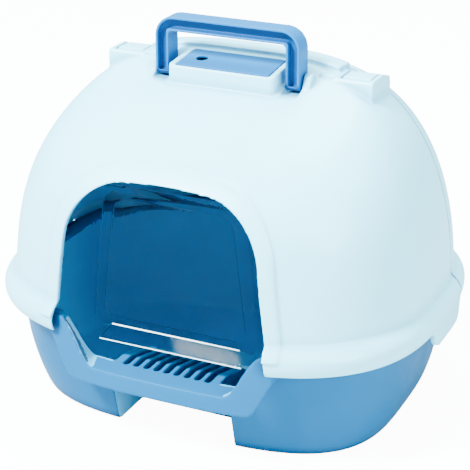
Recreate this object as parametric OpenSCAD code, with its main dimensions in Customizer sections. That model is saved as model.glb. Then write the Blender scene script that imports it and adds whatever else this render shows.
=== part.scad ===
// Cat litter box with a two-part domed hood, swing door, carry handle and filter.
// The front faces -Y, the floor is z = 0 and the box is symmetric about x = 0.

/* [Overall] */
// Width across the brim of the hood
overall_w = 500; // [420:5:600]
// Depth across the brim of the hood
overall_d = 420; // [360:5:500]
// Height of the crown of the hood
hood_top = 382; // [320:1:440]
// Height of the lower edge of the brim
brim_z = 117; // [105:1:125]

/* [Hood] */
// Wall thickness of both halves of the hood
wall = 3; // [2:0.5:4]
// How far the brim stands out from the wall
brim_out = 12; // [8:1:16]
// Half height of the rounded brim
brim_h = 18; // [14:1:22]
// Distance of the crown behind the middle
crown_y = 14; // [8:1:20]
// Gap along the seam between the front hood and the rear lid
seam_gap = 2.4; // [2:0.1:3]
// Place of the seam on both sides of the hood
seam_y = 57; // [54:1:64]
// Length of the clip lobe on each side
ear_l = 96; // [70:1:120]
// How far the clip lobe hangs below the brim
ear_drop = 17; // [8:1:25]

/* [Entrance] */
// Width of the opening at its foot
entry_w = 244; // [200:1:280]
// Height of the top of the opening
entry_top = 291; // [262:1:310]
// Radius of the upper corners of the opening
entry_r = 70; // [40:1:80]
// Width of the raised surround of the opening
surround_w = 16; // [10:1:22]

/* [Tray] */
// Wall thickness of the tray
tray_wall = 3; // [2:0.5:4]
// Height of the rim of the tray
rim_z = 135; // [128:1:142]
// Height of the lip at the entrance
lip_z = 85; // [74:1:94]
// Depth of the skirt that hangs from the rim
skirt_h = 20; // [14:1:26]
// Width of the flange along the sides
flange_w = 18; // [12:1:22]
// Width of the flange at the front and the back
flange_d = 13; // [10:1:16]
// Width of the recess between the front feet
recess_w = 140; // [90:1:170]
// Width of the slotted step
step_w = 124; // [110:1:140]
// Number of grooves in the step
groove_count = 9; // [5:1:11]
// Pitch of the grooves
groove_pitch = 12; // [10:0.5:13]
// Width of a groove
groove_w = 6.5; // [4:0.5:8]

/* [Door] */
// Width of the door at its foot
door_w = 192; // [150:1:210]
// Thickness of the clear door
door_t = 2.5; // [2:0.5:4]
// Diameter of the pivots of the door
door_pin_d = 6; // [4:0.5:8]

/* [Handle] */
// Width of the carry handle
handle_w = 168; // [150:1:190]
// Top of the raised handle above the crown
handle_rise = 42; // [38:1:56]
// Width of a leg of the handle
leg_w = 16; // [12:1:20]
// Depth of the handle, front to back
leg_d = 24; // [18:1:28]
// Diameter of the pivots of the handle
handle_pin_d = 6; // [5:0.5:7]

/* [Filter] */
// Width of the raised filter housing
block_w = 124; // [100:1:126]
// Depth of the raised filter housing
block_d = 54; // [46:1:60]
// Thickness of the filter cover
cover_t = 3; // [2:0.5:4]
// Thickness of the carbon pad
pad_t = 10; // [6:1:12]

/* [Hinge] */
// Width of each hinge housing
housing_w = 44; // [36:1:50]
// Distance of a housing's middle from the middle of the box
housing_x = 134; // [125:1:150]
// Diameter of the hinge pins of the lid
lid_pin_d = 4; // [3:0.5:5]
// Height of the raised band between the housings above the crown
band_h = 5; // [3:0.5:6]

/* [Hidden] */
$fn = 48;
seg = 80;                     // points round each ring of a shell
rim_seg = 160;                // points round the rim of the tray
base_n = 2.8;                 // squareness of the plan outline at the brim
top_n = 2.4;                  // and at the crown
foot_n = 3.4;                 // squareness of the tray
slip = 0.05;                  // radial clearance of a pin in its bore
fit = 0.6;                    // clearance round a piece that drops into a seat
shell_white = [0.88, 0.96, 0.98];
shell_blue = [0.36, 0.66, 0.86];
trim_blue = [0.32, 0.72, 0.96];

half_w = overall_w / 2 - brim_out;
half_d = overall_d / 2 - brim_out;
dome_z = brim_z + 10;         // height at which the dome starts
dome_h = hood_top - dome_z;
brim_mid = brim_z + 14;

// ---- outline of the hood: rings of a rounded dome --------------------------------
function spow(v, p) = sign(v) * pow(abs(v), p);
function ring(a, m, f, r, z, n = base_n, count = seg) = [for (i = [0:count - 1])
    let (c = cos(360 * i / count), s = sin(360 * i / count), q = 2 / n)
    [a * spow(c, q), m + (s < 0 ? f : r) * spow(s, q), z]];
function plan_n(t) = base_n + (top_n - base_n) * t;
function side_x(t) = half_w * pow(max(0, 1 - pow(t, 2.16)), 0.301);
function front_y(t) = crown_y - (half_d + crown_y) * pow(max(0, 1 - pow(t, 5.12)), 1.55);
function rear_y(t) = crown_y + (half_d - crown_y) * pow(max(0, 1 - pow(t, 2.62)), 0.41);
function mid_y(t) = crown_y * pow(t, 1.5);
// the brim stands out fully at its middle, round below and running out softly above
function flare(z) = let (k = (z - brim_mid) / brim_h)
    k >= 1 ? 0 : k > 0 ? brim_out * (1 - pow(k, 2.2)) : brim_out * sqrt(max(0, 1 - k * k));
function hood_ring(z, off) = let (
    t = min(0.9995, max(0, (z - dome_z) / (dome_h - off))), m = mid_y(t), o = flare(z) - off)
    ring(max(1, side_x(t) + o), m, max(0.4, m - front_y(t) + o), max(0.4, rear_y(t) - m + o), z, plan_n(t));
function dome_zs(off) = [for (i = [1:13]) dome_z + (dome_h - off) * sin(7 + 81 * i / 13)];
brim_steps = [-0.62, -0.35, -0.05, 0.25, 0.5, 0.72, 0.9, 1.0];
function brim_zs(low) = [for (k = concat([low], brim_steps)) brim_mid + brim_h * k];

// height of the hood's outer face at a place, by halving
function inside(x, y, t) = let (m = mid_y(t), d = y < m ? m - front_y(t) : rear_y(t) - m)
    pow(abs(x) / max(1e-6, side_x(t)), plan_n(t)) + pow(abs(y - m) / max(1e-6, d), plan_n(t)) < 1;
function find_t(x, y, lo, hi, n) = n == 0 ? lo : let (c = (lo + hi) / 2)
    inside(x, y, c) ? find_t(x, y, c, hi, n - 1) : find_t(x, y, lo, c, n - 1);
function hood_z(x, y) = dome_z + dome_h * find_t(x, y, 0, 1, 24);

module loft(rings) {
    n = len(rings[0]);
    k = len(rings);
    polyhedron([for (r = rings) each r], concat(
        [[for (i = [0:n - 1]) i]],
        [for (j = [0:k - 2], i = [0:n - 1]) let (e = (i + 1) % n)
            [j * n + i, (j + 1) * n + i, (j + 1) * n + e, j * n + e]],
        [[for (i = [n - 1:-1:0]) (k - 1) * n + i]]));
}

module hood_solid(off, low) {
    loft([for (z = concat(brim_zs(low), dome_zs(off))) hood_ring(z, off)]);
}

// a block between two x values, two y values and two z values
module slab(x, y, z) {
    translate([x[0], y[0], z[0]]) cube([x[1] - x[0], y[1] - y[0], z[1] - z[0]]);
}
// an outline drawn in x and z, pushed through from one y to another
module along_y(y0, y1) {
    translate([0, y1, 0]) rotate([90, 0, 0]) linear_extrude(y1 - y0) children();
}
// an outline drawn in y and z, pushed through from one x to another
module along_x(x0, x1) {
    translate([x0, 0, 0]) rotate([90, 0, 90]) linear_extrude(x1 - x0) children();
}
module pair() {
    children();
    mirror([1, 0, 0]) children();
}

// ---- tray -----------------------------------------------------------------------
rim_gap = 9;                              // the rim stands this far inside the brim
rim_w = overall_w / 2 - rim_gap;          // half width over the rim
rim_d = overall_d / 2 - rim_gap;
tray_w = rim_w - flange_w;                // half width of the wall under its flange
tray_d = rim_d - flange_d;
round_w = 24;                             // how far the sides are rounded in at the foot
round_h = 81;                             // and over what height
taper_d = 34;                             // how much the front and the back lean in
foot_r = 6;                               // small radius round the foot
recess_top = lip_z - 19;
step_back = 78;                           // how far the step reaches in from the lip
step_front = -tray_d;
groove_y = -rim_d + 26;                   // front ends of the grooves
groove_z = lip_z - 12;
entry_side = entry_w / 2;
dip_run = 36;                             // length of the slope from the lip up to the rim
skirt_shift = 16;                         // the skirt's lower edge rises this much further out

function arc_in(h, p) = 1 - pow(1 - pow(1 - min(1, h), p), 1 / p);
function tray_ring(z, off, lift) = let (
    h = max(0, z - lift), foot = foot_r * arc_in(h / foot_r, 2),
    y = tray_d - taper_d * (1 - min(1, h / rim_z)) - foot - off)
    ring(tray_w - round_w * arc_in(h / round_h, 1.6) - foot - off, 0, y, y, z, foot_n);
function smooth(u) = let (k = min(1, max(0, u))) k * k * (3 - 2 * k);
// height of the rim along the front: it dips to the lip inside the entrance
function rim_at(x) = lip_z + (rim_z - lip_z) * smooth((abs(x) - entry_side + dip_run) / dip_run);
function skirt_at(x) = let (u = (abs(x) - entry_side + dip_run - skirt_shift) / dip_run)
    lip_z - skirt_h + (rim_z - lip_z) * smooth(u);

module tray_shell() {
    zs = [0, 0.6, 2.3, 5, 8, 13, 20, 29, 41, 56, 74, 95, rim_z];
    difference() {
        loft([for (z = zs) tray_ring(z, 0, 0)]);
        difference() {
            loft([for (z = zs) tray_ring(z + tray_wall, tray_wall, tray_wall)]);
            step_body();
            recess(tray_wall);
        }
        recess(0);
        along_y(-overall_d, -tray_d * 0.55)
            polygon([for (x = [-entry_side - 20:4:entry_side + 20]) [x, rim_at(x)],
                [entry_side + 20, rim_z + 20], [-entry_side - 20, rim_z + 20]]);
    }
}
// the arched hollow between the two front feet
module recess(grow) {
    along_y(-overall_d, step_front + step_back + 12 + grow) {
        r = 14;
        translate([-recess_w / 2 - grow, -1]) square([recess_w + 2 * grow, recess_top - r + 1]);
        translate([-recess_w / 2 + r - grow, 0]) square([recess_w - 2 * r + 2 * grow, recess_top + grow]);
        for (s = [-1, 1]) translate([s * (recess_w / 2 - r), recess_top - r]) circle(r + grow);
    }
}
// the step that the cat walks in over
module step_body() {
    along_x(-step_w / 2, step_w / 2) polygon([
        [step_front - 10, recess_top - 10], [step_front - 10, lip_z], [step_front + 36, lip_z - 1],
        [step_front + step_back, lip_z - 12], [step_front + step_back + 5, lip_z - 17],
        [step_front + step_back + 5, recess_top - 10]]);
}
module grooves() {
    for (i = [0:groove_count - 1]) translate([(i - (groove_count - 1) / 2) * groove_pitch, 0, 0]) hull() {
        translate([0, groove_y + groove_w / 2, groove_z]) cylinder(d = groove_w, h = 30, $fn = 12);
        translate([0, groove_y + 90, groove_z - 6]) cylinder(d = groove_w, h = 30, $fn = 12);
    }
}
// flange and skirt that run round the rim and dip at the entrance
module tray_rim() {
    t = tray_wall;
    bite = 0.4;                           // overlap of the flange with the wall
    inner = ring(tray_w - bite, 0, 1, 1, 0, foot_n, rim_seg);
    outer = ring(rim_w, 0, rim_d, rim_d, 0, base_n, rim_seg);
    band = ring(rim_w - t, 0, rim_d - t, rim_d - t, 0, base_n, rim_seg);
    loops = [for (i = [0:rim_seg - 1]) let (
        a = inner[i], b = outer[i], c = band[i], dip = b[1] < 0,
        top = dip ? rim_at(a[0]) : rim_z, low = dip ? skirt_at(b[0]) : rim_z - skirt_h,
        y = a[1] * (tray_d - taper_d * (1 - top / rim_z) - bite))
        [[a[0], y, top], [b[0], b[1], top], [b[0], b[1], low],
            [c[0], c[1], low], [c[0], c[1], top - t], [a[0], y, top - t]]];
    polyhedron([for (l = loops) each l], [for (i = [0:rim_seg - 1], j = [0:5])
        let (e = (i + 1) % rim_seg, k = (j + 1) % 6)
        [i * 6 + j, e * 6 + j, e * 6 + k, i * 6 + k]]);
}
module tray() color(shell_blue) whole() difference() {
    union() {
        tray_shell();
        tray_rim();
        // beam under the lip that carries the front ends of the grooves
        slab([-step_w / 2 + 0.5, step_w / 2 - 0.5], [groove_y - 6, groove_y + 20], [recess_top + 0.5, lip_z]);
    }
    grooves();
}
// keeps a shell of many faces as one body
module whole() {
    resize([0, 0, 0]) union() children();
}

// ---- entrance -------------------------------------------------------------------
entry_taper = 12;                                 // how much narrower it is at its shoulders
module entry_outline(grow) {
    top = entry_top - 2 + grow;
    shoulder = entry_side - entry_taper - entry_r;
    hull() {
        translate([-entry_side - grow, brim_z - 40]) square([2 * (entry_side + grow), 50]);
        for (s = [-1, 1]) translate([s * shoulder, top - entry_r - grow]) circle(entry_r + grow);
        translate([-10, top]) square([20, 2]);
    }
}

// ---- handle, filter housing and hinge places ---------------------------------------
handle_y = -13;                                   // middle of the handle's depth
handle_x = handle_w / 2;                          // outside of a leg
handle_z = hood_z(handle_x - leg_w / 2, handle_y) + 4;
handle_top = hood_top + handle_rise;
leg_r = leg_d / 2;
pocket_gap = 2;
pocket_floor = handle_z - leg_r - pocket_gap;
shoulder_w = 9;

block_x = block_w / 2;
block_y0 = -40;                                   // front face of the filter housing
block_y1 = block_y0 + block_d;
block_z0 = hood_z(block_x, block_y0 + 2) + 20;    // top of the housing at its front
block_z1 = block_z0 + 5.5;                        // and at its back
block_side = 7.5;                                 // border beside the cover
block_edge = 3;                                   // border in front of and behind the cover
tilt = atan((block_z1 - block_z0) / block_d);
ledge = 4;                                        // seat under the cover
grille_t = 2.5;
grille_z = block_z0 - cover_t - pad_t - grille_t - 2;

hinge_y = crown_y;                                // axis of the lid's hinge
hinge_z = hood_z(housing_x, hinge_y) + 0.5;
knuckle_r = 8;
cheek = 5.5;                                      // wall on both sides of the arm
side_gap = 0.5;                                   // clearance beside the arm
housing_in = housing_x - housing_w / 2;
housing_out = housing_x + housing_w / 2;
housing_low = hinge_z - 22;
housing_flat = 33;                                // where the flat top of a housing ends
seam_front = seam_y - seam_gap / 2;
seam_back = seam_y + seam_gap / 2;

// ---- front hood -----------------------------------------------------------------
lobe_r = 14;                                      // corner radius of a clip lobe
rib_t = 3;
rib_reach = 14;                                   // how far a rest rib reaches in over the tray's rim
rib_places = [-20, 35];

module brim_skirt_inside() {
    skin = rim_gap - 1;
    loft([for (z = [-1, brim_mid])
        ring(overall_w / 2 - skin, 0, overall_d / 2 - skin, overall_d / 2 - skin, z)]);
}
module hood_shape() {
    difference() {
        union() {
            hood_solid(0, -0.78);
            intersection() {                      // raised surround of the entrance
                hood_solid(-3, -0.6);
                along_y(-overall_d, -half_d * 0.45) entry_outline(surround_w);
                slab([-overall_w, overall_w], [-overall_d, 0], [brim_mid + 4, hood_top]);
            }
            pair() clip_lobe();
            intersection() {                      // raised band between the hinge housings
                hood_solid(-band_h, -0.6);
                slab([-housing_in, housing_in], [hinge_y + 4, seam_y - 7], [hood_top - 40, hood_top + 20]);
            }
            block();
            pair() housing();
            pair() shoulder_root();
        }
        hood_inside();
        along_y(-overall_d, -half_d * 0.45) entry_outline(0);
    }
    intersection() {                              // ribs that rest on the rim of the tray
        hood_solid(wall / 2, -1.6);
        pair() for (y = rib_places)
            slab([rim_w - rib_reach, overall_w / 2], [y, y + rib_t], [rim_z + 0.4, rim_z + 26]);
    }
}
module clip_lobe() intersection() {
    loft([for (z = [brim_z - ear_drop, brim_mid]) ring(overall_w / 2, 0, overall_d / 2, overall_d / 2, z)]);
    along_x(half_w * 0.9, overall_w) hull() {
        for (y = [seam_y - ear_l * 0.8, seam_y - ear_l * 0.2])
            translate([y, brim_z - ear_drop + lobe_r]) circle(lobe_r);
        translate([seam_y - ear_l, brim_mid]) square([ear_l, 4]);
    }
}
module hood_inside() {
    difference() {
        union() {
            hood_solid(wall, -1.6);
            brim_skirt_inside();
        }
        slab([-block_x + 2.5, block_x - 2.5], [block_y0 + 2.5, block_y1 - 2.5], [grille_z - 3, hood_top + 40]);
        pair() slab([handle_x - leg_w - 5, handle_x + 5], [handle_y - leg_r - 22, handle_y + leg_r + 5],
            [pocket_floor - 3, hood_top]);
        pair() slab([housing_in + 1, housing_out - 1], [1, seam_y + 1], [housing_low, hood_top]);
    }
}
module block() intersection() {
    along_x(-block_x, block_x) polygon([
        [block_y0, grille_z - 8], [block_y0, block_z0 - 2], [block_y0 + 2, block_z0],
        [block_y1 - 2, block_z1], [block_y1, block_z1 - 2], [block_y1, grille_z - 8]]);
    translate([0, (block_y0 + block_y1) / 2, 0]) linear_extrude(2 * hood_top) offset(6) offset(-6)
        square([block_w, block_d], center = true);
}
// box-shaped housing that the lid's arm lies in
module housing() {
    top = hinge_z + knuckle_r;
    along_x(housing_in, housing_out) polygon([
        [0, housing_low + 3], [0, top - 3], [2.5, top], [housing_flat, top + 0.6],
        [seam_y + 1, hinge_z - 4], [seam_y + 1, housing_low + 3]]);
    // low step beside the housing, towards the middle
    slab([housing_in - 15, housing_in + 1], [2, hinge_y + 6], [housing_low + 4, top + 1.5]);
}
// rounded fin outside each leg of the handle
module shoulder_root() along_x(handle_x - 1, handle_x + 1 + shoulder_w) hull() {
    translate([handle_y + 3, handle_z]) circle(7);
    translate([handle_y - leg_r, pocket_floor - 3]) square([leg_d, 2]);
}
module hood_cuts() {
    slab([-overall_w, overall_w], [seam_front, overall_d], [-1, 2 * hood_top]);
    // seat of the cover, pocket of the pad and the opening under the grille
    translate([0, block_y0, block_z0]) rotate([tilt, 0, 0])
        slab([-block_x + block_side, block_x - block_side], [block_edge, block_d - block_edge],
            [-cover_t - 0.3, 20]);
    well(ledge, grille_z, 60);
    well(2 * ledge, grille_z - 20, 40);
    pair() {
        // pocket of a handle leg, open to the front so that the handle folds
        slab([handle_x - leg_w - pocket_gap, handle_x + 1],
            [handle_y - leg_r - 32, handle_y + leg_r + pocket_gap], [pocket_floor, hood_top + 20]);
        // slot of the lid's arm
        slab([housing_in + cheek, housing_out - cheek], [hinge_y - knuckle_r - 2, seam_y],
            [hinge_z - knuckle_r - 1.5, hood_top + 20]);
    }
}
// straight-sided pocket in the filter housing
module well(inset, floor_z, h) {
    x = block_x - block_side - inset;
    slab([-x, x], [block_y0 + block_edge + inset, block_y1 - block_edge - inset], [floor_z, floor_z + h]);
}
module front_hood() color(shell_white) {
    whole() difference() {
        hood_shape();
        hood_cuts();
        pair() {
            along_x(handle_x, handle_x + shoulder_w - 1)
                translate([handle_y, handle_z]) circle(d = handle_pin_d + 2 * slip);
            along_x(housing_in - 1, housing_out + 1)
                translate([hinge_y, hinge_z]) circle(d = lid_pin_d + 2 * slip);
        }
    }
    pair() door_bracket();
}

// ---- swing door -----------------------------------------------------------------
door_z = entry_top - 18;                          // height of the door's pivots
door_y = -half_d * 0.76;
door_foot = lip_z + 29;
door_side = door_w / 2;
door_taper = 13;                                  // the door narrows by this much on each side
door_r = 32;                                      // upper corners
door_top = door_z + 4;
bracket_x = [door_side + 3, door_side + 10];
pin_root = 56;                                    // a pivot starts this far out in the door
strip_side = 75;                                  // half width of the kick strip at its root
strip_drop = 12;
strip_out = 15;

module door_bracket() {
    r = door_pin_d / 2 + 3;
    difference() {
        along_x(bracket_x[0], bracket_x[1]) {
            translate([door_y, door_z]) circle(r);
            translate([-half_d + 30, door_z - r]) square([door_y + half_d - 30, 2 * r]);
        }
        along_x(bracket_x[0] - 1, bracket_x[1] + 1)
            translate([door_y, door_z]) circle(d = door_pin_d + 2 * slip);
    }
}
module swing_door() color([0.75, 0.87, 0.93, 0.45]) {
    top_side = door_side - door_taper;
    chamfer = 11;
    along_y(door_y - door_t / 2, door_y + door_t / 2) {
        polygon([[-door_side, door_foot + chamfer], [-door_side + chamfer, door_foot],
            [door_side - chamfer, door_foot], [door_side, door_foot + chamfer],
            [top_side, door_top - door_r], [-top_side, door_top - door_r]]);
        for (s = [-1, 1]) translate([s * (top_side - door_r), door_top - door_r]) circle(door_r);
        translate([-top_side + door_r, door_top - door_r]) square([2 * (top_side - door_r), door_r]);
    }
    kick_strip();
    for (s = [-1, 1]) along_x(min(s * pin_root, s * bracket_x[1]), max(s * pin_root, s * bracket_x[1]))
        translate([door_y, door_z]) circle(d = door_pin_d);
}
// strip along the foot of the door, leaning outwards and a little wider at its edge
module kick_strip() {
    lean = atan2(strip_drop, strip_out);
    len = norm([strip_drop, strip_out]);
    translate([0, door_y, door_foot + 2]) rotate([lean, 0, 0]) translate([0, 0, -1])
        linear_extrude(door_t) polygon([[-strip_side, 0], [strip_side, 0],
            [strip_side + 8, -len], [-strip_side - 8, -len]]);
}

// ---- rear lid -------------------------------------------------------------------
arm_x = [housing_in + cheek + side_gap, housing_out - cheek - side_gap];
arm_root = hood_z(arm_x[1], seam_y + 6) - 5;      // underside of the arm where it joins the lid
module arm_outline() {
    translate([hinge_y, hinge_z]) circle(knuckle_r);
    polygon([[hinge_y, hinge_z + knuckle_r], [housing_flat, hinge_z + knuckle_r],
        [seam_y + 15, hinge_z - 4], [seam_y + 15, arm_root], [seam_back + 0.4, arm_root],
        [seam_back + 0.4, hinge_z - knuckle_r], [hinge_y, hinge_z - knuckle_r]]);
}
module rear_lid() color(shell_white) whole() {
    difference() {
        hood_solid(0, -0.78);
        hood_solid(wall, -1.6);
        brim_skirt_inside();
        slab([-overall_w, overall_w], [-overall_d, seam_back], [-1, 2 * hood_top]);
    }
    pair() along_x(arm_x[0], arm_x[1]) difference() {
        arm_outline();
        translate([hinge_y, hinge_z]) circle(d = lid_pin_d + 2 * slip);
    }
}
module lid_hinge_pin(s) color("silver")
    translate([s * (housing_in + 1), hinge_y, hinge_z]) rotate([0, s * 90, 0])
        cylinder(d = lid_pin_d, h = housing_w - 2);
module lid_hinge_pin_left() lid_hinge_pin(-1);
module lid_hinge_pin_right() lid_hinge_pin(1);

// ---- carry handle ---------------------------------------------------------------
flange_t = 3;                                     // edge of the channel in the front of the handle
channel = 8;                                      // depth of that channel
bend_r = 22;                                      // outer radius of the upper corners
inner_r = 4;
module bail_outline(inset) {
    x = handle_x - inset;
    r = bend_r - inset;
    top = handle_top - inset;
    u = handle_x - leg_w + inset;
    under = handle_top - leg_w + inset;
    difference() {
        union() {
            translate([-x, handle_z]) square([2 * x, top - r - handle_z]);
            translate([-x + r, handle_z]) square([2 * (x - r), top - handle_z]);
            for (s = [-1, 1]) translate([s * (x - r), top - r]) circle(r);
        }
        translate([-u, handle_z - 1]) square([2 * u, under - inner_r - handle_z + 1]);
        translate([-u + inner_r, handle_z - 1]) square([2 * (u - inner_r), under - handle_z + 1]);
        for (s = [-1, 1]) translate([s * (u - inner_r), under - inner_r]) circle(inner_r);
    }
}
module carry_handle() color(trim_blue) difference() {
    union() {
        along_y(handle_y - leg_r, handle_y + leg_r) bail_outline(0);
        pair() along_x(handle_x - leg_w, handle_x) translate([handle_y, handle_z]) circle(leg_r);
    }
    along_y(handle_y - leg_r - 1, handle_y - leg_r + channel) {
        bail_outline(flange_t);
        for (s = [-1, 1]) translate([s * (handle_x - leg_w / 2) - leg_w / 2 + flange_t, handle_z - 6])
            square([leg_w - 2 * flange_t, 8]);
    }
    along_x(-handle_x - 1, handle_x + 1) translate([handle_y, handle_z]) circle(d = handle_pin_d);
}
module handle_pivot(s) color(trim_blue)
    translate([s * (handle_x - leg_w), handle_y, handle_z]) rotate([0, s * 90, 0])
        cylinder(d = handle_pin_d, h = leg_w + shoulder_w - 2);
module handle_pivot_left() handle_pivot(-1);
module handle_pivot_right() handle_pivot(1);

// ---- filter ---------------------------------------------------------------------
cover_x = block_x - block_side - fit;
finger_hole = [-34, 28, 13];                      // place along x, place along the depth, diameter
slot_pitch = 8;
slot_w = 5;
module filter_cover() color(trim_blue)
    translate([0, block_y0, block_z0]) rotate([tilt, 0, 0]) difference() {
        slab([-cover_x, cover_x], [block_edge + fit, block_d - block_edge - fit], [-cover_t, 0]);
        translate([finger_hole[0], finger_hole[1], -cover_t - 1]) cylinder(d = finger_hole[2], h = cover_t + 2);
    }
// a plate inside the filter housing, this far in from the edge of the cover's seat
module plate(inset, z0, t) {
    x = block_x - block_side - inset;
    slab([-x, x], [block_y0 + block_edge + inset, block_y1 - block_edge - inset], [z0, z0 + t]);
}
module carbon_filter() color([0.2, 0.2, 0.21])
    plate(ledge + 1.5, grille_z + grille_t + 0.3, pad_t);
module filter_grille() color(shell_white) difference() {
    plate(ledge + fit, grille_z, grille_t);
    for (i = [-5:5]) translate([i * slot_pitch, 0, 0])
        slab([-slot_w / 2, slot_w / 2],
            [block_y0 + block_edge + 2 * ledge + 3, block_y1 - block_edge - 2 * ledge - 3],
            [grille_z - 1, grille_z + grille_t + 1]);
}

tray();
front_hood();
rear_lid();
lid_hinge_pin_left();
lid_hinge_pin_right();
carry_handle();
handle_pivot_left();
handle_pivot_right();
filter_cover();
carbon_filter();
filter_grille();
swing_door();
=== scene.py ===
"""Looks of a hooded cat litter box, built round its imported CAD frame.

The shells are lofted from the same outline formulas as the CAD, cut and joined as solids,
then softened the way moulded plastic is. Lengths in the shape code are millimetres.
"""
import math

import bpy
import numpy as np
from mathutils import Matrix, Vector
from mathutils.geometry import convex_hull_2d


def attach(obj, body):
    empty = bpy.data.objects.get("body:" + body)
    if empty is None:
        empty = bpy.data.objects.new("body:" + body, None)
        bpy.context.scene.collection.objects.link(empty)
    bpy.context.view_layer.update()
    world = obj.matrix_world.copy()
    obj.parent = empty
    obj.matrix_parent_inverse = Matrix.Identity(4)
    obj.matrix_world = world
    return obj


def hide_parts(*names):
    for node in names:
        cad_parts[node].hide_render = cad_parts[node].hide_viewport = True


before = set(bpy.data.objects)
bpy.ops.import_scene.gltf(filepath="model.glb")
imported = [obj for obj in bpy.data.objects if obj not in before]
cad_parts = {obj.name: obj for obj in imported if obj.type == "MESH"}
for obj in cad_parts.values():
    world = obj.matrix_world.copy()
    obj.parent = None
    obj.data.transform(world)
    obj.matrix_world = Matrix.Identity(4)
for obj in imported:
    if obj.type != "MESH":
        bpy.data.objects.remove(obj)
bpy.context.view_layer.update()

MM = 0.001

# ---- driving sizes, as in the CAD ------------------------------------------------------
overall_w, overall_d, hood_top, brim_z = 500.0, 420.0, 382.0, 117.0
wall, brim_out, brim_h, crown_y = 3.0, 12.0, 18.0, 14.0
seam_gap, seam_y, ear_l, ear_drop = 2.4, 57.0, 96.0, 17.0
entry_w, entry_top, entry_r, surround_w = 244.0, 291.0, 70.0, 16.0
tray_wall, rim_z, lip_z, skirt_h, flange_w, flange_d = 3.0, 135.0, 85.0, 20.0, 18.0, 13.0
recess_w, step_w, groove_count, groove_pitch, groove_w = 140.0, 124.0, 9, 12.0, 6.5
door_w, door_t, door_pin_d = 192.0, 2.5, 6.0
handle_w, leg_w, leg_d = 168.0, 16.0, 24.0
block_w, block_d, cover_t, pad_t = 124.0, 54.0, 3.0, 10.0
housing_w, housing_x, band_h = 44.0, 134.0, 5.0
base_n, top_n, foot_n = 2.8, 2.4, 3.4

half_w, half_d = overall_w / 2 - brim_out, overall_d / 2 - brim_out
dome_z, brim_mid = brim_z + 10, brim_z + 14
dome_h = hood_top - dome_z
seg = 360


# ---- outline formulas --------------------------------------------------------------------
def spow(v, p):
    return np.sign(v) * np.abs(v) ** p


def ring(a, middle, front, rear, z, n=base_n, count=None):
    """Rounded-square outline: half width a, depth front and rear of its middle, squareness n."""
    angle = np.linspace(0, 2 * math.pi, count or seg, endpoint=False)
    c, s = np.cos(angle), np.sin(angle)
    y = middle + np.where(s < 0, front, rear) * spow(s, 2 / n)
    return np.stack([a * spow(c, 2 / n), y, np.full_like(c, z)], 1)


def plan_n(t):
    return base_n + (top_n - base_n) * t


def side_x(t):
    return half_w * max(0, 1 - t ** 2.16) ** 0.301


def front_y(t):
    return crown_y - (half_d + crown_y) * max(0, 1 - t ** 5.12) ** 1.55


def rear_y(t):
    return crown_y + (half_d - crown_y) * max(0, 1 - t ** 2.62) ** 0.41


def mid_y(t):
    return crown_y * t ** 1.5


def flare(z):
    """How far the brim stands out: round below its middle, running out softly above."""
    k = (z - brim_mid) / brim_h
    if k >= 1:
        return 0
    return brim_out * (1 - k ** 2.2) if k > 0 else brim_out * math.sqrt(max(0, 1 - k * k))


def hood_ring(z, off):
    t = min(0.9995, max(0, (z - dome_z) / (dome_h - off)))
    m, o = mid_y(t), flare(z) - off
    front, rear = max(0.4, m - front_y(t) + o), max(0.4, rear_y(t) - m + o)
    return ring(max(1, side_x(t) + o), m, front, rear, z, plan_n(t))


def hood_z(x, y):
    """Height of the hood's outer face at a place, by halving."""
    low, high = 0.0, 1.0
    for _ in range(24):
        t = (low + high) / 2
        m = mid_y(t)
        d = m - front_y(t) if y < m else rear_y(t) - m
        n = plan_n(t)
        inside = (abs(x) / max(1e-6, side_x(t))) ** n + (abs(y - m) / max(1e-6, d)) ** n < 1
        low, high = (t, high) if inside else (low, t)
    return dome_z + dome_h * low


# ---- solids --------------------------------------------------------------------------------
def solid(name, verts, faces):
    mesh = bpy.data.meshes.new(name)
    mesh.from_pydata([tuple(v) for v in np.asarray(verts, float) * MM], [], faces)
    mesh.validate()
    obj = bpy.data.objects.new(name, mesh)
    bpy.context.scene.collection.objects.link(obj)
    return obj


def loft(name, rings):
    n, k = len(rings[0]), len(rings)
    faces = [[i for i in range(n - 1, -1, -1)], [(k - 1) * n + i for i in range(n)]]
    for j in range(k - 1):
        for i in range(n):
            e = (i + 1) % n
            faces.append([j * n + i, j * n + e, (j + 1) * n + e, (j + 1) * n + i])
    return solid(name, np.concatenate(rings), faces)


def prism(name, outline, axis, start, end):
    """An outline pushed through along X (outline in y, z) or Y (outline in x, z), or Z (outline in x, y)."""
    area = sum(p[0] * q[1] - q[0] * p[1] for p, q in zip(outline, outline[1:] + outline[:1]))
    points = list(outline) if area > 0 else list(reversed(outline))
    place = {"x": lambda p, s: (s, p[0], p[1]),
             "y": lambda p, s: (p[0], s, p[1]),
             "z": lambda p, s: (p[0], p[1], s)}[axis]
    near, far = (end, start) if axis == "y" else (start, end)
    n = len(points)
    verts = [place(p, near) for p in points] + [place(p, far) for p in points]
    faces = [list(range(n - 1, -1, -1)), list(range(n, 2 * n))]
    faces += [[i, (i + 1) % n, n + (i + 1) % n, n + i] for i in range(n)]
    return solid(name, verts, faces)


def slab(x, y, z, name="slab"):
    return prism(name, [(x[0], y[0]), (x[1], y[0]), (x[1], y[1]), (x[0], y[1])], "z", z[0], z[1])


def arc(cx, cy, r, start, end, steps=14):
    return [(cx + r * math.cos(math.radians(a)), cy + r * math.sin(math.radians(a)))
            for a in np.linspace(start, end, steps)]


def hull(points):
    points = [Vector(p) for p in points]
    return [tuple(points[i]) for i in convex_hull_2d(points)]


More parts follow.
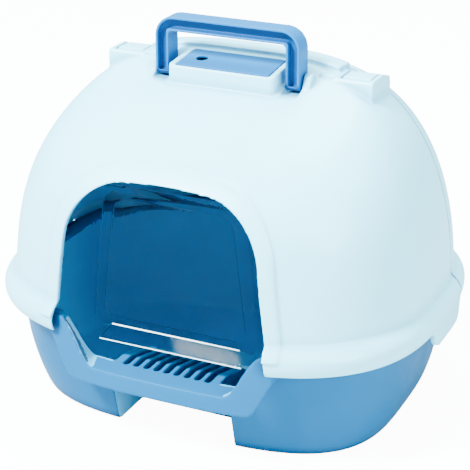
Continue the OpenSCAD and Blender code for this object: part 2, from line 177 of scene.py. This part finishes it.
def rounded(w, h, r):
    """Rounded rectangle about the origin."""
    return (arc(w / 2 - r, h / 2 - r, r, 0, 90) + arc(-w / 2 + r, h / 2 - r, r, 90, 180)
            + arc(-w / 2 + r, -h / 2 + r, r, 180, 270) + arc(w / 2 - r, -h / 2 + r, r, 270, 360))


def settle(obj):
    """Applies an object's modifiers to its mesh."""
    evaluated = obj.evaluated_get(bpy.context.evaluated_depsgraph_get())
    mesh = bpy.data.meshes.new_from_object(evaluated)
    obj.modifiers.clear()
    old, obj.data = obj.data, mesh
    bpy.data.meshes.remove(old)
    return obj


def combine(obj, how, tools):
    """Joins or cuts obj with each tool in turn, and throws the tools away."""
    for tool in tools:
        step = obj.modifiers.new(how, "BOOLEAN")
        step.operation, step.object, step.solver = how, tool, "MANIFOLD"
        settle(obj)
        bpy.data.objects.remove(tool)
    return obj


def join(obj, *tools):
    return combine(obj, "UNION", tools)


def cut(obj, *tools):
    return combine(obj, "DIFFERENCE", tools)


def keep(obj, tool):
    return combine(obj, "INTERSECT", [tool])


def lean(obj, y, z, angle):
    """Turns a shape about the X axis and sets it down at a place in y and z."""
    obj.data.transform(Matrix.Translation(Vector((0, y, z)) * MM) @ Matrix.Rotation(angle, 4, "X"))
    return obj


def both_sides(make):
    return [make(1), make(-1)]


def span(s, a, b):
    return (a, b) if s > 0 else (-b, -a)


def soften(obj, voxel, rounds, ratio=1.0, extra=None, extra_rounds=0):
    """Rounds every edge a little, as moulding does; extra(points) gives a 0 to 1 weight for more of it."""
    remesh = obj.modifiers.new("remesh", "REMESH")
    remesh.mode, remesh.voxel_size = "VOXEL", voxel * MM * 1
    settle(obj)
    smooth = obj.modifiers.new("smooth", "SMOOTH")
    smooth.factor, smooth.iterations = 0.5, rounds
    settle(obj)
    if extra:
        points = np.array([v.co for v in obj.data.vertices]) / MM
        group = obj.vertex_groups.new(name="soft")
        for level in (0.25, 0.5, 0.75, 1.0):
            chosen = np.nonzero((extra(points) > level - 0.25) & (extra(points) <= level))[0]
            group.add([int(i) for i in chosen], level, "REPLACE")
        smooth = obj.modifiers.new("soft", "SMOOTH")
        smooth.factor, smooth.iterations, smooth.vertex_group = 0.6, extra_rounds, "soft"
        settle(obj)
        obj.vertex_groups.clear()
    if ratio < 1:
        thin = obj.modifiers.new("thin", "DECIMATE")
        thin.ratio = ratio
        settle(obj)
    obj.data.shade_smooth()
    return obj


def like_cad(node, name):
    """A copy of a CAD node's mesh, to be softened."""
    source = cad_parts[node]
    obj = bpy.data.objects.new(name, source.data.copy())
    obj.data.transform(source.matrix_world)
    obj.data.materials.clear()
    bpy.context.scene.collection.objects.link(obj)
    weld = obj.modifiers.new("weld", "WELD")
    weld.merge_threshold = 1e-5
    return settle(obj)


# ---- hood -----------------------------------------------------------------------------------
entry_side, entry_taper = entry_w / 2, 12.0
handle_y, handle_x = -13.0, handle_w / 2
handle_z = hood_z(handle_x - leg_w / 2, handle_y) + 4
leg_r = leg_d / 2
pocket_gap, shoulder_w = 2.0, 9.0
pocket_floor = handle_z - leg_r - pocket_gap
block_x, block_y0 = block_w / 2, -40.0
block_y1 = block_y0 + block_d
block_z0 = hood_z(block_x, block_y0 + 2) + 20
block_z1 = block_z0 + 5.5
block_side, block_edge, ledge, grille_t = 7.5, 3.0, 4.0, 2.5
grille_z = block_z0 - cover_t - pad_t - grille_t - 2
hinge_y = crown_y
hinge_z = hood_z(housing_x, hinge_y) + 0.5
knuckle_r, cheek, side_gap = 8.0, 5.5, 0.5
housing_in, housing_out = housing_x - housing_w / 2, housing_x + housing_w / 2
housing_low, housing_flat = hinge_z - 22, 33.0
seam_front, seam_back = seam_y - seam_gap / 2, seam_y + seam_gap / 2
rim_gap = 9.0
rim_w, rim_d = overall_w / 2 - rim_gap, overall_d / 2 - rim_gap


def hood_solid(off, low, name="dome"):
    brim = [brim_mid + brim_h * k for k in [low] + list(np.linspace(-0.7, 1.0, 22))]
    dome = [dome_z + (dome_h - off) * math.sin(math.radians(a)) for a in np.linspace(9, 88, 70)]
    heights = sorted({round(z, 3) for z in brim + [z for z in dome if z > brim[-1] + 1]})
    return loft(name, [hood_ring(z, off) for z in heights])


def brim_inside():
    skin = rim_gap - 1
    return loft("brim_inside", [ring(overall_w / 2 - skin, 0, overall_d / 2 - skin, overall_d / 2 - skin, z)
                                for z in (-1.0, brim_mid)])


def entry_outline(grow):
    """Half round arch on sides that lean in a little; grow sets it wider all round."""
    top = entry_top - 2 + grow
    shoulder = entry_side - entry_taper - entry_r
    points = [(s * (entry_side + grow), brim_z + z) for s in (-1, 1) for z in (-40, 10)]
    points += [(-10, top + 2), (10, top + 2)]
    for s in (-1, 1):
        points += arc(s * shoulder, top - entry_r - grow, entry_r + grow, 0, 360, 97)
    return hull(points)


def entry_prism(grow):
    return prism("entrance", entry_outline(grow), "y", -overall_d, -half_d * 0.45)


def entry_distance(points):
    """Distance of points from the edge of the entrance, in the x and z of its outline."""
    outline = np.array(entry_outline(0))
    a, b = outline, np.roll(outline, -1, 0)
    p = points[:, [0, 2]]
    best = np.full(len(p), 1e9)
    for start, end in zip(a, b):
        d = end - start
        u = np.clip(((p - start) @ d) / max(1e-9, d @ d), 0, 1)
        best = np.minimum(best, np.linalg.norm(p - start - u[:, None] * d, axis=1))
    return best


def clip_lobe(s):
    radius, low = 14.0, brim_z - ear_drop
    lobe = loft("lobe", [ring(overall_w / 2, 0, overall_d / 2, overall_d / 2, z) for z in (low, brim_mid)])
    outline = [(seam_y - y, brim_mid + z) for y in (ear_l, 0) for z in (0, 4)]
    for share in (0.8, 0.2):
        outline += arc(seam_y - ear_l * share, low + radius, radius, 180, 360)
    return keep(lobe, prism("lobe_outline", hull(outline), "x", *span(s, half_w * 0.9, overall_w)))


def block():
    body = prism("block", [(block_y0, grille_z - 8), (block_y1, grille_z - 8), (block_y1, block_z1 - 2),
                           (block_y1 - 2, block_z1), (block_y0 + 2, block_z0), (block_y0, block_z0 - 2)],
                 "x", -block_x, block_x)
    middle = (block_y0 + block_y1) / 2
    plan = [(x, y + middle) for x, y in rounded(block_w, block_d, 6)]
    return keep(body, prism("plan", plan, "z", 0, 2 * hood_top))


def housing(s):
    top = hinge_z + knuckle_r
    body = prism("housing", [(0, housing_low + 3), (seam_y + 1, housing_low + 3), (seam_y + 1, hinge_z - 4),
                             (housing_flat, top + 0.6), (2.5, top), (0, top - 3)],
                 "x", *span(s, housing_in, housing_out))
    step = slab(span(s, housing_in - 15, housing_in + 1), (2, hinge_y + 6), (housing_low + 4, top + 1.5))
    return join(body, step)


def fin(s):
    outline = arc(handle_y + 3, handle_z, 7, 0, 360, 49)
    outline += [(handle_y - leg_r, pocket_floor - 3), (handle_y + leg_r, pocket_floor - 3)]
    outline += [(handle_y - leg_r, pocket_floor - 1), (handle_y + leg_r, pocket_floor - 1)]
    return prism("fin", hull(outline), "x", *span(s, handle_x - 1, handle_x + 1 + shoulder_w))


def tilted_seat():
    """The recess the cover lies in, which leans with the top of the filter housing."""
    seat = slab((-block_x + block_side, block_x - block_side), (block_edge, block_d - block_edge),
                (-cover_t - 0.3, 20))
    tilt = math.atan2(block_z1 - block_z0, block_d)
    return lean(seat, block_y0, block_z0, tilt)


def pocket(inset, floor_z, height):
    x, edge = block_x - block_side - inset, block_edge + inset
    return slab((-x, x), (block_y0 + edge, block_y1 - edge), (floor_z, floor_z + height))


def front_hood():
    hood = hood_solid(0, -0.78, "hood_front")
    for rise, width in ((2.0, surround_w + 0.5), (2.8, surround_w - 1), (3.3, surround_w - 3)):
        layer = keep(hood_solid(-rise, -0.6), entry_prism(width))
        layer = keep(layer, slab((-overall_w, overall_w), (-overall_d, 0), (brim_mid + 4, hood_top)))
        join(hood, layer)
    band = keep(hood_solid(-band_h, -0.6),
                slab((-housing_in, housing_in), (hinge_y + 4, seam_y - 7), (hood_top - 40, hood_top + 20)))
    join(hood, band, block(), *both_sides(clip_lobe), *both_sides(housing), *both_sides(fin))
    hollow = join(hood_solid(wall, -1.6), brim_inside())
    cut(hollow, slab((-block_x + 2.5, block_x - 2.5), (block_y0 + 2.5, block_y1 - 2.5),
                     (grille_z - 3, hood_top + 40)))
    for s in (1, -1):
        cut(hollow, slab(span(s, handle_x - leg_w - 5, handle_x + 5),
                         (handle_y - leg_r - 22, handle_y + leg_r + 5), (pocket_floor - 3, hood_top)),
            slab(span(s, housing_in + 1, housing_out - 1), (1, seam_y + 1), (housing_low, hood_top)))
    cut(hood, hollow, entry_prism(0),
        slab((-overall_w, overall_w), (seam_front, overall_d), (-1, 2 * hood_top)),
        tilted_seat(), pocket(ledge, grille_z, 60), pocket(2 * ledge, grille_z - 20, 40))
    for s in (1, -1):
        cut(hood, slab(span(s, handle_x - leg_w - pocket_gap, handle_x + 1),
                       (handle_y - leg_r - 32, handle_y + leg_r + pocket_gap), (pocket_floor, hood_top + 20)),
            slab(span(s, housing_in + cheek, housing_out - cheek), (hinge_y - knuckle_r - 2, seam_y + 2),
                 (hinge_z - knuckle_r - 1.5, hood_top + 20)))

    def around_entrance(points):
        distance = entry_distance(points)
        near = np.clip((26 - distance) / 6, 0, 1) * np.clip((distance - 6) / 4, 0, 1)
        return near * (points[:, 1] < -60)
    return soften(join(hood, seam_lip()), 1.2, 10, 0.3, around_entrance, 3)


def seam_lip():
    """Thin rebate that reaches behind the lid's front edge on both sides and keeps light out."""
    def skin(outer, y0, y1):
        shell = cut(hood_solid(outer, -0.5), hood_solid(wall + 1.9, -0.6))
        return keep(shell, slab((-overall_w, overall_w), (y0, y1), (brim_mid + 0.6, lip_top)))
    lip_top = 330.0
    root = seam_front - 7
    return join(skin(wall + 0.5, root, seam_back + 4), skin(wall - 0.6, root, seam_front - 0.8))


def rear_lid():
    lid = cut(hood_solid(0, -0.78, "lid"), join(hood_solid(wall, -1.6), brim_inside()),
              slab((-overall_w, overall_w), (-overall_d, seam_back), (-1, 2 * hood_top)))
    root = hood_z(housing_out - cheek - side_gap, seam_y + 6) - 5
    outline = arc(hinge_y, hinge_z, knuckle_r, 90, 270, 30)
    outline += [(seam_back + 0.4, hinge_z - knuckle_r), (seam_back + 0.4, root), (seam_y + 15, root),
                (seam_y + 15, hinge_z - 4), (housing_flat, hinge_z + knuckle_r)]
    arm_in, arm_out = housing_in + cheek + side_gap, housing_out - cheek - side_gap
    for s in (1, -1):
        join(lid, prism("arm", outline, "x", *span(s, arm_in, arm_out)))
    return soften(lid, 1.4, 6, 0.35)


# ---- tray ------------------------------------------------------------------------------------
tray_w, tray_d = rim_w - flange_w, rim_d - flange_d
round_w, round_h, taper_d, foot_r = 24.0, 81.0, 34.0, 6.0
recess_top, step_back, step_front = lip_z - 19, 78.0, -tray_d
groove_y, groove_z = -rim_d + 26, lip_z - 12
dip_run, skirt_shift = 36.0, 16.0


def arc_in(h, p):
    return 1 - (1 - (1 - min(1, h)) ** p) ** (1 / p)


def wall_y(h):
    return tray_d - taper_d * (1 - min(1, h / rim_z))


def tray_ring(z, off, lift):
    h = max(0, z - lift)
    foot = foot_r * arc_in(h / foot_r, 2)
    y = wall_y(h) - foot - off
    return ring(tray_w - round_w * arc_in(h / round_h, 1.6) - foot - off, 0, y, y, z, foot_n)


def ease(u):
    k = np.clip(u, 0, 1)
    return k * k * (3 - 2 * k)


def rim_at(x):
    return lip_z + (rim_z - lip_z) * ease((abs(x) - entry_side + dip_run) / dip_run)


def skirt_at(x):
    return lip_z - skirt_h + (rim_z - lip_z) * ease((abs(x) - entry_side + dip_run - skirt_shift) / dip_run)


def recess(grow):
    r = 14.0
    x, z = recess_w / 2 - r, recess_top - r
    outline = arc(x, z, r + grow, 0, 90) + arc(-x, z, r + grow, 90, 180)
    outline += [(-recess_w / 2 - grow, -1), (recess_w / 2 + grow, -1)]
    return prism("recess", outline, "y", -overall_d, step_front + step_back + 12 + grow)


def step_body():
    back = step_front + step_back
    side = [(step_front - 10, recess_top - 10), (back + 5, recess_top - 10), (back + 5, lip_z - 17),
            (back, lip_z - 12), (step_front + 36, lip_z - 1), (step_front - 10, lip_z)]
    return prism("step", side, "x", -step_w / 2, step_w / 2)


def groove(i):
    """A round-ended slot that slopes down towards the inside of the tray."""
    x, r = (i - (groove_count - 1) / 2) * groove_pitch, groove_w / 2
    plan = arc(x, groove_y + r, r, 180, 360) + arc(x, groove_y + 90, r, 0, 180)
    n = len(plan)
    slope = lambda y: groove_z - 6 * (y - groove_y) / 90
    verts = [(px, py, slope(py)) for px, py in plan] + [(px, py, slope(py) + 30) for px, py in plan]
    faces = [list(range(n - 1, -1, -1)), list(range(n, 2 * n))]
    faces += [[k, (k + 1) % n, n + (k + 1) % n, n + k] for k in range(n)]
    return solid("groove", verts, faces)


def rim():
    count, bite, t = 480, 0.4, tray_wall
    inner = ring(tray_w - bite, 0, 1, 1, 0, foot_n, count)
    outer = ring(rim_w, 0, rim_d, rim_d, 0, base_n, count)
    band = ring(rim_w - t, 0, rim_d - t, rim_d - t, 0, base_n, count)
    verts = []
    for a, b, c in zip(inner, outer, band):
        dips = b[1] < 0
        top = rim_at(a[0]) if dips else rim_z
        low = skirt_at(b[0]) if dips else rim_z - skirt_h
        y = a[1] * (wall_y(top) - bite)
        verts += [(a[0], y, top), (b[0], b[1], top), (b[0], b[1], low),
                  (c[0], c[1], low), (c[0], c[1], top - t), (a[0], y, top - t)]
    faces = []
    for i in range(count):
        e = (i + 1) % count
        faces += [[i * 6 + j, i * 6 + (j + 1) % 6, e * 6 + (j + 1) % 6, e * 6 + j] for j in range(6)]
    return solid("rim", verts, faces)


def tray():
    heights = list(np.linspace(0, foot_r, 9)) + list(np.linspace(foot_r, round_h, 26)[1:])
    heights += [95.0, 110.0, 122.0, rim_z]
    shell = loft("tray_shell", [tray_ring(z, 0, 0) for z in heights])
    hollow = loft("hollow", [tray_ring(z + tray_wall, tray_wall, tray_wall) for z in heights])
    cut(hollow, step_body(), recess(tray_wall))
    side = entry_side + 20
    line = [(x, float(rim_at(x))) for x in np.linspace(-side, side, 120)]
    dip = prism("dip", line + [(side, rim_z + 20), (-side, rim_z + 20)], "y", -overall_d, -tray_d * 0.55)
    cut(shell, hollow, recess(0), dip)
    lip_beam = slab((-step_w / 2 + 0.5, step_w / 2 - 0.5), (groove_y - 6, groove_y + 20),
                    (recess_top + 0.5, lip_z))
    join(shell, rim(), lip_beam)
    cut(shell, *[groove(i) for i in range(groove_count)])
    return soften(shell, 1.3, 6, 0.35)


# ---- door ---------------------------------------------------------------------------------------
door_z, door_y, door_foot = entry_top - 18, -half_d * 0.76, lip_z + 29
door_side, door_taper, door_r = door_w / 2, 13.0, 32.0
door_top = door_z + 4
strip_drop, strip_out, strip_root, strip_edge, bead_r = 12.0, 15.0, 75.0, 83.0, 0.75


def door_outline(inset):
    side, top_side, r = door_side - inset, door_side - door_taper - inset, door_r - inset
    foot, top, corner = door_foot + inset, door_top - inset, 12.0
    return ([(-side + corner, foot), (side - corner, foot)]
            + arc(side - corner, foot + corner, corner, 290, 355, 8)
            + arc(top_side - r, top - r, r, 0, 90, 18) + arc(-top_side + r, top - r, r, 90, 180, 18)
            + arc(-side + corner, foot + corner, corner, 185, 250, 8))


def swing_door():
    """Clear sheet with a raised inner border, a kick strip and two pivots."""
    door = prism("door", door_outline(0), "y", door_y - door_t / 2, door_y + door_t / 2)
    border = cut(prism("border", door_outline(12), "y", door_y - door_t / 2 - 0.8, door_y),
                 prism("border_in", door_outline(14), "y", door_y - 8, door_y + 8))
    join(door, border)
    pitch, length = math.atan2(strip_drop, strip_out), math.hypot(strip_drop, strip_out)
    plan = [(-strip_root, 0), (-strip_edge, -length), (strip_edge, -length), (strip_root, 0)]
    strip = prism("strip", plan, "z", -1, -1 + door_t)
    join(door, lean(strip, door_y, door_foot + 2, pitch))
    for y, z, half in ((door_y - door_t / 2 - 0.3, door_foot + 2.5, strip_root),
                       (door_y - strip_out, door_foot + 2 - strip_drop, strip_edge)):
        join(door, prism("bead", arc(y, z, bead_r, 0, 330, 12), "x", -half, half))
    for s in (1, -1):
        round_pin = arc(door_y, door_z, door_pin_d / 2, 0, 345, 24)
        join(door, prism("pivot", round_pin, "x", *span(s, 56, door_side + 10)))
    bevel = door.modifiers.new("bevel", "BEVEL")
    bevel.width, bevel.segments = 0.5 * MM, 2
    bevel.limit_method, bevel.angle_limit = "ANGLE", math.radians(35)
    settle(door)
    door.data.shade_smooth()
    return door


def paint_strip_edge_highlights(door):
    """The rounded edges of the kick strip take an opaque pale colour, a painted highlight that shows as two
    pale lines.
    """
    door.data.materials.append(PAINTED_HIGHLIGHT)
    for face in door.data.polygons:
        x, y, z = face.center / MM
        at_root = (abs(z - door_foot - 2.5) < 1.0 and y < door_y - door_t / 2 - 0.1
                   and abs(x) < strip_root + 0.5)
        at_edge = abs(z - door_foot - 2 + strip_drop) < 1.1 and abs(y - door_y + strip_out) < 1.1
        if at_root or at_edge:
            face.material_index = 1


def paint_inside_light_and_shade(shell, centre_z, top):
    """The faces that look inwards, below a height, take a separate blue of painted light and shade: on the
    white hood and lid it is painted shade, inside the tray it is a lighter copy of the tray blue, painted
    light.
    """
    shell.data.materials.append(INSIDE_PAINTED_LIGHT_AND_SHADE)
    count = len(shell.data.polygons)
    centre, normal = np.empty(count * 3), np.empty(count * 3)
    shell.data.polygons.foreach_get("center", centre)
    shell.data.polygons.foreach_get("normal", normal)
    centre, normal = centre.reshape(-1, 3) / MM, normal.reshape(-1, 3)
    out = centre - np.array([0, crown_y, centre_z])
    out /= np.linalg.norm(out, axis=1)[:, None]
    on_step = (np.abs(centre[:, 0]) < step_w / 2 + 2) & (centre[:, 1] < step_front + step_back + 3)
    inner = ((out * normal).sum(1) < -0.25) & (centre[:, 2] < top) & ~on_step
    shell.data.polygons.foreach_set("material_index", inner.astype(np.int32))


# ---- finishes --------------------------------------------------------------------------------------
def group(name, inputs, outputs, build):
    tree = bpy.data.node_groups.new(name, "ShaderNodeTree")
    for label, kind, default in inputs:
        socket = tree.interface.new_socket(name=label, in_out="INPUT", socket_type=kind)
        if default is not None:
            socket.default_value = default
    for label, kind in outputs:
        tree.interface.new_socket(name=label, in_out="OUTPUT", socket_type=kind)
    given, out = tree.nodes.new("NodeGroupInput").outputs, tree.nodes.new("NodeGroupOutput").inputs
    build(tree.nodes, tree.links, given, out)
    return tree


def noise(nodes, links, scale, detail, roughness=0.55):
    place = nodes.new("ShaderNodeTexCoord")
    texture = nodes.new("ShaderNodeTexNoise")
    texture.inputs["Scale"].default_value = scale
    texture.inputs["Detail"].default_value = detail
    texture.inputs["Roughness"].default_value = roughness
    links.new(place.outputs["Object"], texture.inputs["Vector"])
    return texture


def build_drift(nodes, links, given, out):
    texture = noise(nodes, links, 9, 3)
    spread = nodes.new("ShaderNodeMapRange")
    spread.inputs["From Min"].default_value, spread.inputs["From Max"].default_value = 0.35, 0.65
    mix = nodes.new("ShaderNodeMix")
    mix.data_type = "RGBA"
    links.new(texture.outputs["Fac"], spread.inputs["Value"])
    links.new(spread.outputs["Result"], mix.inputs["Factor"])
    links.new(given["Light"], mix.inputs["A"])
    links.new(given["Dark"], mix.inputs["B"])
    links.new(mix.outputs["Result"], out["Color"])


def build_grain(nodes, links, given, out):
    fine, broad = noise(nodes, links, 1400, 2), noise(nodes, links, 35, 2)
    fine_part, broad_part, total = (nodes.new("ShaderNodeMath") for _ in range(3))
    for part, texture, label in ((fine_part, fine, "Fine"), (broad_part, broad, "Broad")):
        part.operation = "MULTIPLY"
        links.new(texture.outputs["Fac"], part.inputs[0])
        links.new(given[label], part.inputs[1])
    links.new(fine_part.outputs[0], total.inputs[0])
    links.new(broad_part.outputs[0], total.inputs[1])
    links.new(total.outputs[0], out["Height"])


def build_wear(nodes, links, given, out):
    shape = nodes.new("ShaderNodeNewGeometry")
    edge = nodes.new("ShaderNodeMapRange")
    edge.inputs["From Min"].default_value, edge.inputs["From Max"].default_value = 0.56, 0.72
    patchy, mask = noise(nodes, links, 60, 3), nodes.new("ShaderNodeMath")
    amount = nodes.new("ShaderNodeMath")
    mask.operation = amount.operation = "MULTIPLY"
    links.new(shape.outputs["Pointiness"], edge.inputs["Value"])
    links.new(edge.outputs["Result"], mask.inputs[0])
    links.new(patchy.outputs["Fac"], mask.inputs[1])
    links.new(mask.outputs[0], amount.inputs[0])
    links.new(given["Amount"], amount.inputs[1])
    links.new(amount.outputs[0], out["Mask"])


def build_gloss(nodes, links, given, out):
    texture, spread = noise(nodes, links, 22, 4), nodes.new("ShaderNodeMapRange")
    spread.inputs["From Min"].default_value, spread.inputs["From Max"].default_value = 0.3, 0.7
    links.new(texture.outputs["Fac"], spread.inputs["Value"])
    links.new(given["Low"], spread.inputs["To Min"])
    links.new(given["High"], spread.inputs["To Max"])
    links.new(spread.outputs["Result"], out["Roughness"])


def build_painted_crease_shade(nodes, links, given, out):
    """Inner corners are darkened from an ambient occlusion mask: painted shade where less light falls."""
    hollow, spread = nodes.new("ShaderNodeAmbientOcclusion"), nodes.new("ShaderNodeMapRange")
    hollow.samples = 8
    links.new(given["Reach"], hollow.inputs["Distance"])
    spread.inputs["From Min"].default_value, spread.inputs["From Max"].default_value = 0.6, 0.985
    spread.inputs["To Min"].default_value, spread.inputs["To Max"].default_value = 1.0, 0.0
    links.new(hollow.outputs["AO"], spread.inputs["Value"])
    links.new(spread.outputs["Result"], out["Mask"])


COLOUR, NUMBER = "NodeSocketColor", "NodeSocketFloat"
colour_drift = group("colour_drift", [("Light", COLOUR, None), ("Dark", COLOUR, None)],
                     [("Color", COLOUR)], build_drift)
mould_grain = group("mould_grain", [("Fine", NUMBER, 0.5), ("Broad", NUMBER, 0.5)],
                    [("Height", NUMBER)], build_grain)
edge_wear = group("edge_wear", [("Amount", NUMBER, 0.5)], [("Mask", NUMBER)], build_wear)
crease_shade = group("crease_shade", [("Reach", NUMBER, 0.012)], [("Mask", NUMBER)], build_painted_crease_shade)
gloss_drift = group("gloss_drift", [("Low", NUMBER, 0.3), ("High", NUMBER, 0.4)],
                    [("Roughness", NUMBER)], build_gloss)


def finish_of(name, light, dark, worn, gloss=(0.28, 0.38), fine=0.35, broad=0.6, wear=0.5, bump=0.03,
              shade=None, **sockets):
    """A finish: drifting colour, worn lighter edges, uneven gloss and a fine mould grain, and, where a shade
    colour is given, painted shade in the inner corners.
    """
    material = bpy.data.materials.new(name)
    material.use_nodes = True
    nodes, links = material.node_tree.nodes, material.node_tree.links
    shader = nodes["Principled BSDF"]

    def place(tree, values):
        node = nodes.new("ShaderNodeGroup")
        node.node_tree = tree
        for label, value in values.items():
            node.inputs[label].default_value = value
        return node
    colour = place(colour_drift, {"Light": (*light, 1), "Dark": (*dark, 1)})
    edges = place(edge_wear, {"Amount": wear})
    grain = place(mould_grain, {"Fine": fine, "Broad": broad})
    sheen = place(gloss_drift, {"Low": gloss[0], "High": gloss[1]})
    mix = nodes.new("ShaderNodeMix")
    mix.data_type = "RGBA"
    mix.inputs["B"].default_value = (*worn, 1)
    links.new(colour.outputs["Color"], mix.inputs["A"])
    links.new(edges.outputs["Mask"], mix.inputs["Factor"])
    links.new(mix.outputs["Result"], shader.inputs["Base Color"])
    # Painted shade: ambient occlusion mixes the colour towards the shade colour in inner corners.
    if shade:
        crease_shade_node, painted_shade_mix = place(crease_shade, {"Reach": 0.014}), nodes.new("ShaderNodeMix")
        painted_shade_mix.data_type = "RGBA"
        painted_shade_mix.inputs["B"].default_value = (*shade, 1)
        links.new(mix.outputs["Result"], painted_shade_mix.inputs["A"])
        links.new(crease_shade_node.outputs["Mask"], painted_shade_mix.inputs["Factor"])
        links.new(painted_shade_mix.outputs["Result"], shader.inputs["Base Color"])
    links.new(sheen.outputs["Roughness"], shader.inputs["Roughness"])
    height = nodes.new("ShaderNodeBump")
    height.inputs["Strength"].default_value = bump
    height.inputs["Distance"].default_value = 0.0005
    links.new(grain.outputs["Height"], height.inputs["Height"])
    links.new(height.outputs["Normal"], shader.inputs["Normal"])
    for label, value in sockets.items():
        shader.inputs[label.replace("_", " ")].default_value = value
    return material


# shade= gives the colour of the painted shade in inner corners.
HOOD_WHITE = finish_of("hood_white", (0.30, 0.83, 1.0), (0.28, 0.80, 0.98), (0.45, 0.9, 1.0), wear=0.3,
                       shade=(0.10, 0.36, 0.55), Specular_IOR_Level=0.35)
# Painted light and shade for the inside: deep blue shade on the white shells, a brighter blue inside the
# tray.
INSIDE_PAINTED_LIGHT_AND_SHADE = finish_of("inside_painted_light_and_shade", (0.07, 0.41, 0.68), (0.06, 0.38, 0.64), (0.08, 0.44, 0.72),
                       gloss=(0.4, 0.5), wear=0.2, Specular_IOR_Level=0.05)
TRAY_BLUE = finish_of("tray_blue", (0.0, 0.112, 0.26), (0.0, 0.104, 0.245), (0.01, 0.17, 0.36),
                      gloss=(0.3, 0.42), wear=0.3, shade=(0.0, 0.05, 0.15), Specular_IOR_Level=0.05)
TRIM_BLUE = finish_of("trim_blue", (0.0, 0.135, 0.34), (0.0, 0.125, 0.32), (0.01, 0.22, 0.5),
                      gloss=(0.25, 0.35), wear=0.3, shade=(0.0, 0.055, 0.2), Specular_IOR_Level=0.06)
CLEAR = finish_of("clear_plastic", (0.93, 0.985, 1.0), (0.92, 0.98, 1.0), (1, 1, 1),
                  gloss=(0.0, 0.02), wear=0.0, bump=0.0, Transmission_Weight=1.0, IOR=1.07)
# Painted highlight: opaque pale white on the clear door's strip edges, standing in for the highlights along
# them.
PAINTED_HIGHLIGHT = finish_of("painted_highlight_edge", (0.95, 1.0, 1.0), (0.93, 0.99, 1.0), (1, 1, 1),
                    gloss=(0.4, 0.5), wear=0.1)
CARBON = finish_of("carbon_felt", (0.03, 0.03, 0.035), (0.015, 0.015, 0.018), (0.06, 0.06, 0.06),
                   gloss=(0.85, 0.95), fine=1.0, broad=1.0, bump=0.8)
PIN_STEEL = finish_of("pin_steel", (0.55, 0.55, 0.57), (0.48, 0.48, 0.5), (0.7, 0.7, 0.72),
                      gloss=(0.25, 0.4), Metallic=1.0)


def dress(obj, material, body, slot_name, *nodes):
    obj.data.materials.clear()
    obj.data.materials.append(material)
    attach(obj, body)
    if nodes:
        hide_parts(*nodes)
    return obj


# ---- the pieces ---------------------------------------------------------------------------------------
# Inward faces get painted shade on the hood and lid, and painted light inside the tray.
paint_inside_light_and_shade(dress(tray(), TRAY_BLUE, "tray", "shell_blue", "tray"), rim_z, rim_z - 6)
paint_inside_light_and_shade(dress(front_hood(), HOOD_WHITE, "hood", "shell_white", "front_hood"), brim_mid, hinge_z - 22)
paint_inside_light_and_shade(dress(rear_lid(), HOOD_WHITE, "lid", "shell_white", "rear_lid"), brim_mid, hinge_z - 22)
door = dress(swing_door(), CLEAR, "door", "clear_door", "swing_door")
paint_strip_edge_highlights(door)
dress(soften(like_cad("carry_handle", "handle"), 0.9, 4, 0.5), TRIM_BLUE,
      "handle", "trim_blue", "carry_handle")
dress(soften(like_cad("filter_cover", "cover"), 0.7, 4, 0.5), TRIM_BLUE, "cover", "trim_blue", "filter_cover")
carried = {"handle_pivot_left": TRIM_BLUE, "handle_pivot_right": TRIM_BLUE, "filter_grille": HOOD_WHITE,
           "carbon_filter": CARBON, "lid_hinge_pin_left": PIN_STEEL, "lid_hinge_pin_right": PIN_STEEL}
for node, material in carried.items():
    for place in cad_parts[node].material_slots:
        place.link = "OBJECT"
        place.material = material


# ---- studio ---------------------------------------------------------------------------------------------
def studio():
    bpy.ops.mesh.primitive_plane_add(size=12, location=(0, 0, -0.0005))
    floor = bpy.context.object
    floor.name = "studio_floor"
    pale = bpy.data.materials.new("floor_pale")
    pale.use_nodes = True
    shader = pale.node_tree.nodes["Principled BSDF"]
    shader.inputs["Base Color"].default_value = (0.5, 0.55, 0.58, 1)
    shader.inputs["Roughness"].default_value = 0.8
    shader.inputs["Emission Color"].default_value = (1, 1, 1, 1)
    bright_to_view(pale.node_tree, shader.inputs["Emission Strength"], 0.0, 12.0)
    floor.data.materials.append(pale)
    world = bpy.data.worlds.new("soft_room")
    world.use_nodes = True
    background = world.node_tree.nodes["Background"]
    background.inputs["Color"].default_value = (0.75, 0.94, 1, 1)
    bright_to_view(world.node_tree, background.inputs["Strength"], 0.95, 16.0)
    bpy.context.scene.world = world
    for name, place, size, power in (("key", (-1.1, -1.7, 2.5), 0.7, 600), ("top", (0.1, 0.7, 2.3), 1.0, 130),
                                     ("fill", (2.2, -1.2, 1.2), 1.0, 110)):
        data = bpy.data.lights.new(name, "AREA")
        data.size, data.energy = size, power
        data.color = (0.78, 0.95, 1.0)
        lamp = bpy.data.objects.new(name, data)
        lamp.location = place
        lamp.rotation_euler = (Vector((0, 0, 0.2)) - Vector(place)).to_track_quat("-Z", "Y").to_euler()
        bpy.context.scene.collection.objects.link(lamp)


def bright_to_view(tree, socket, lighting, seen):
    """A strength that is one value as light and another where it is seen directly."""
    path, spread = tree.nodes.new("ShaderNodeLightPath"), tree.nodes.new("ShaderNodeMapRange")
    spread.inputs["To Min"].default_value, spread.inputs["To Max"].default_value = lighting, seen
    tree.links.new(path.outputs["Is Camera Ray"], spread.inputs["Value"])
    tree.links.new(spread.outputs["Result"], socket)


def camera():
    azimuth, elevation = math.radians(25.01), math.radians(22.87)
    level = math.cos(elevation)
    back = Vector((math.sin(azimuth) * level, -math.cos(azimuth) * level, math.sin(elevation)))
    right = Vector((math.cos(azimuth), math.sin(azimuth), 0))
    data = bpy.data.cameras.new("view")
    data.sensor_width, data.lens = 36.0, 114.47
    data.clip_start, data.clip_end = 0.05, 20
    eye = bpy.data.objects.new("view", data)
    turn = Matrix((right, back.cross(right), back)).transposed().to_4x4()
    turn.translation = Vector((0.65251, -1.4006, 0.8265))
    eye.matrix_world = turn
    bpy.context.scene.collection.objects.link(eye)
    bpy.context.scene.camera = eye


studio()
camera()
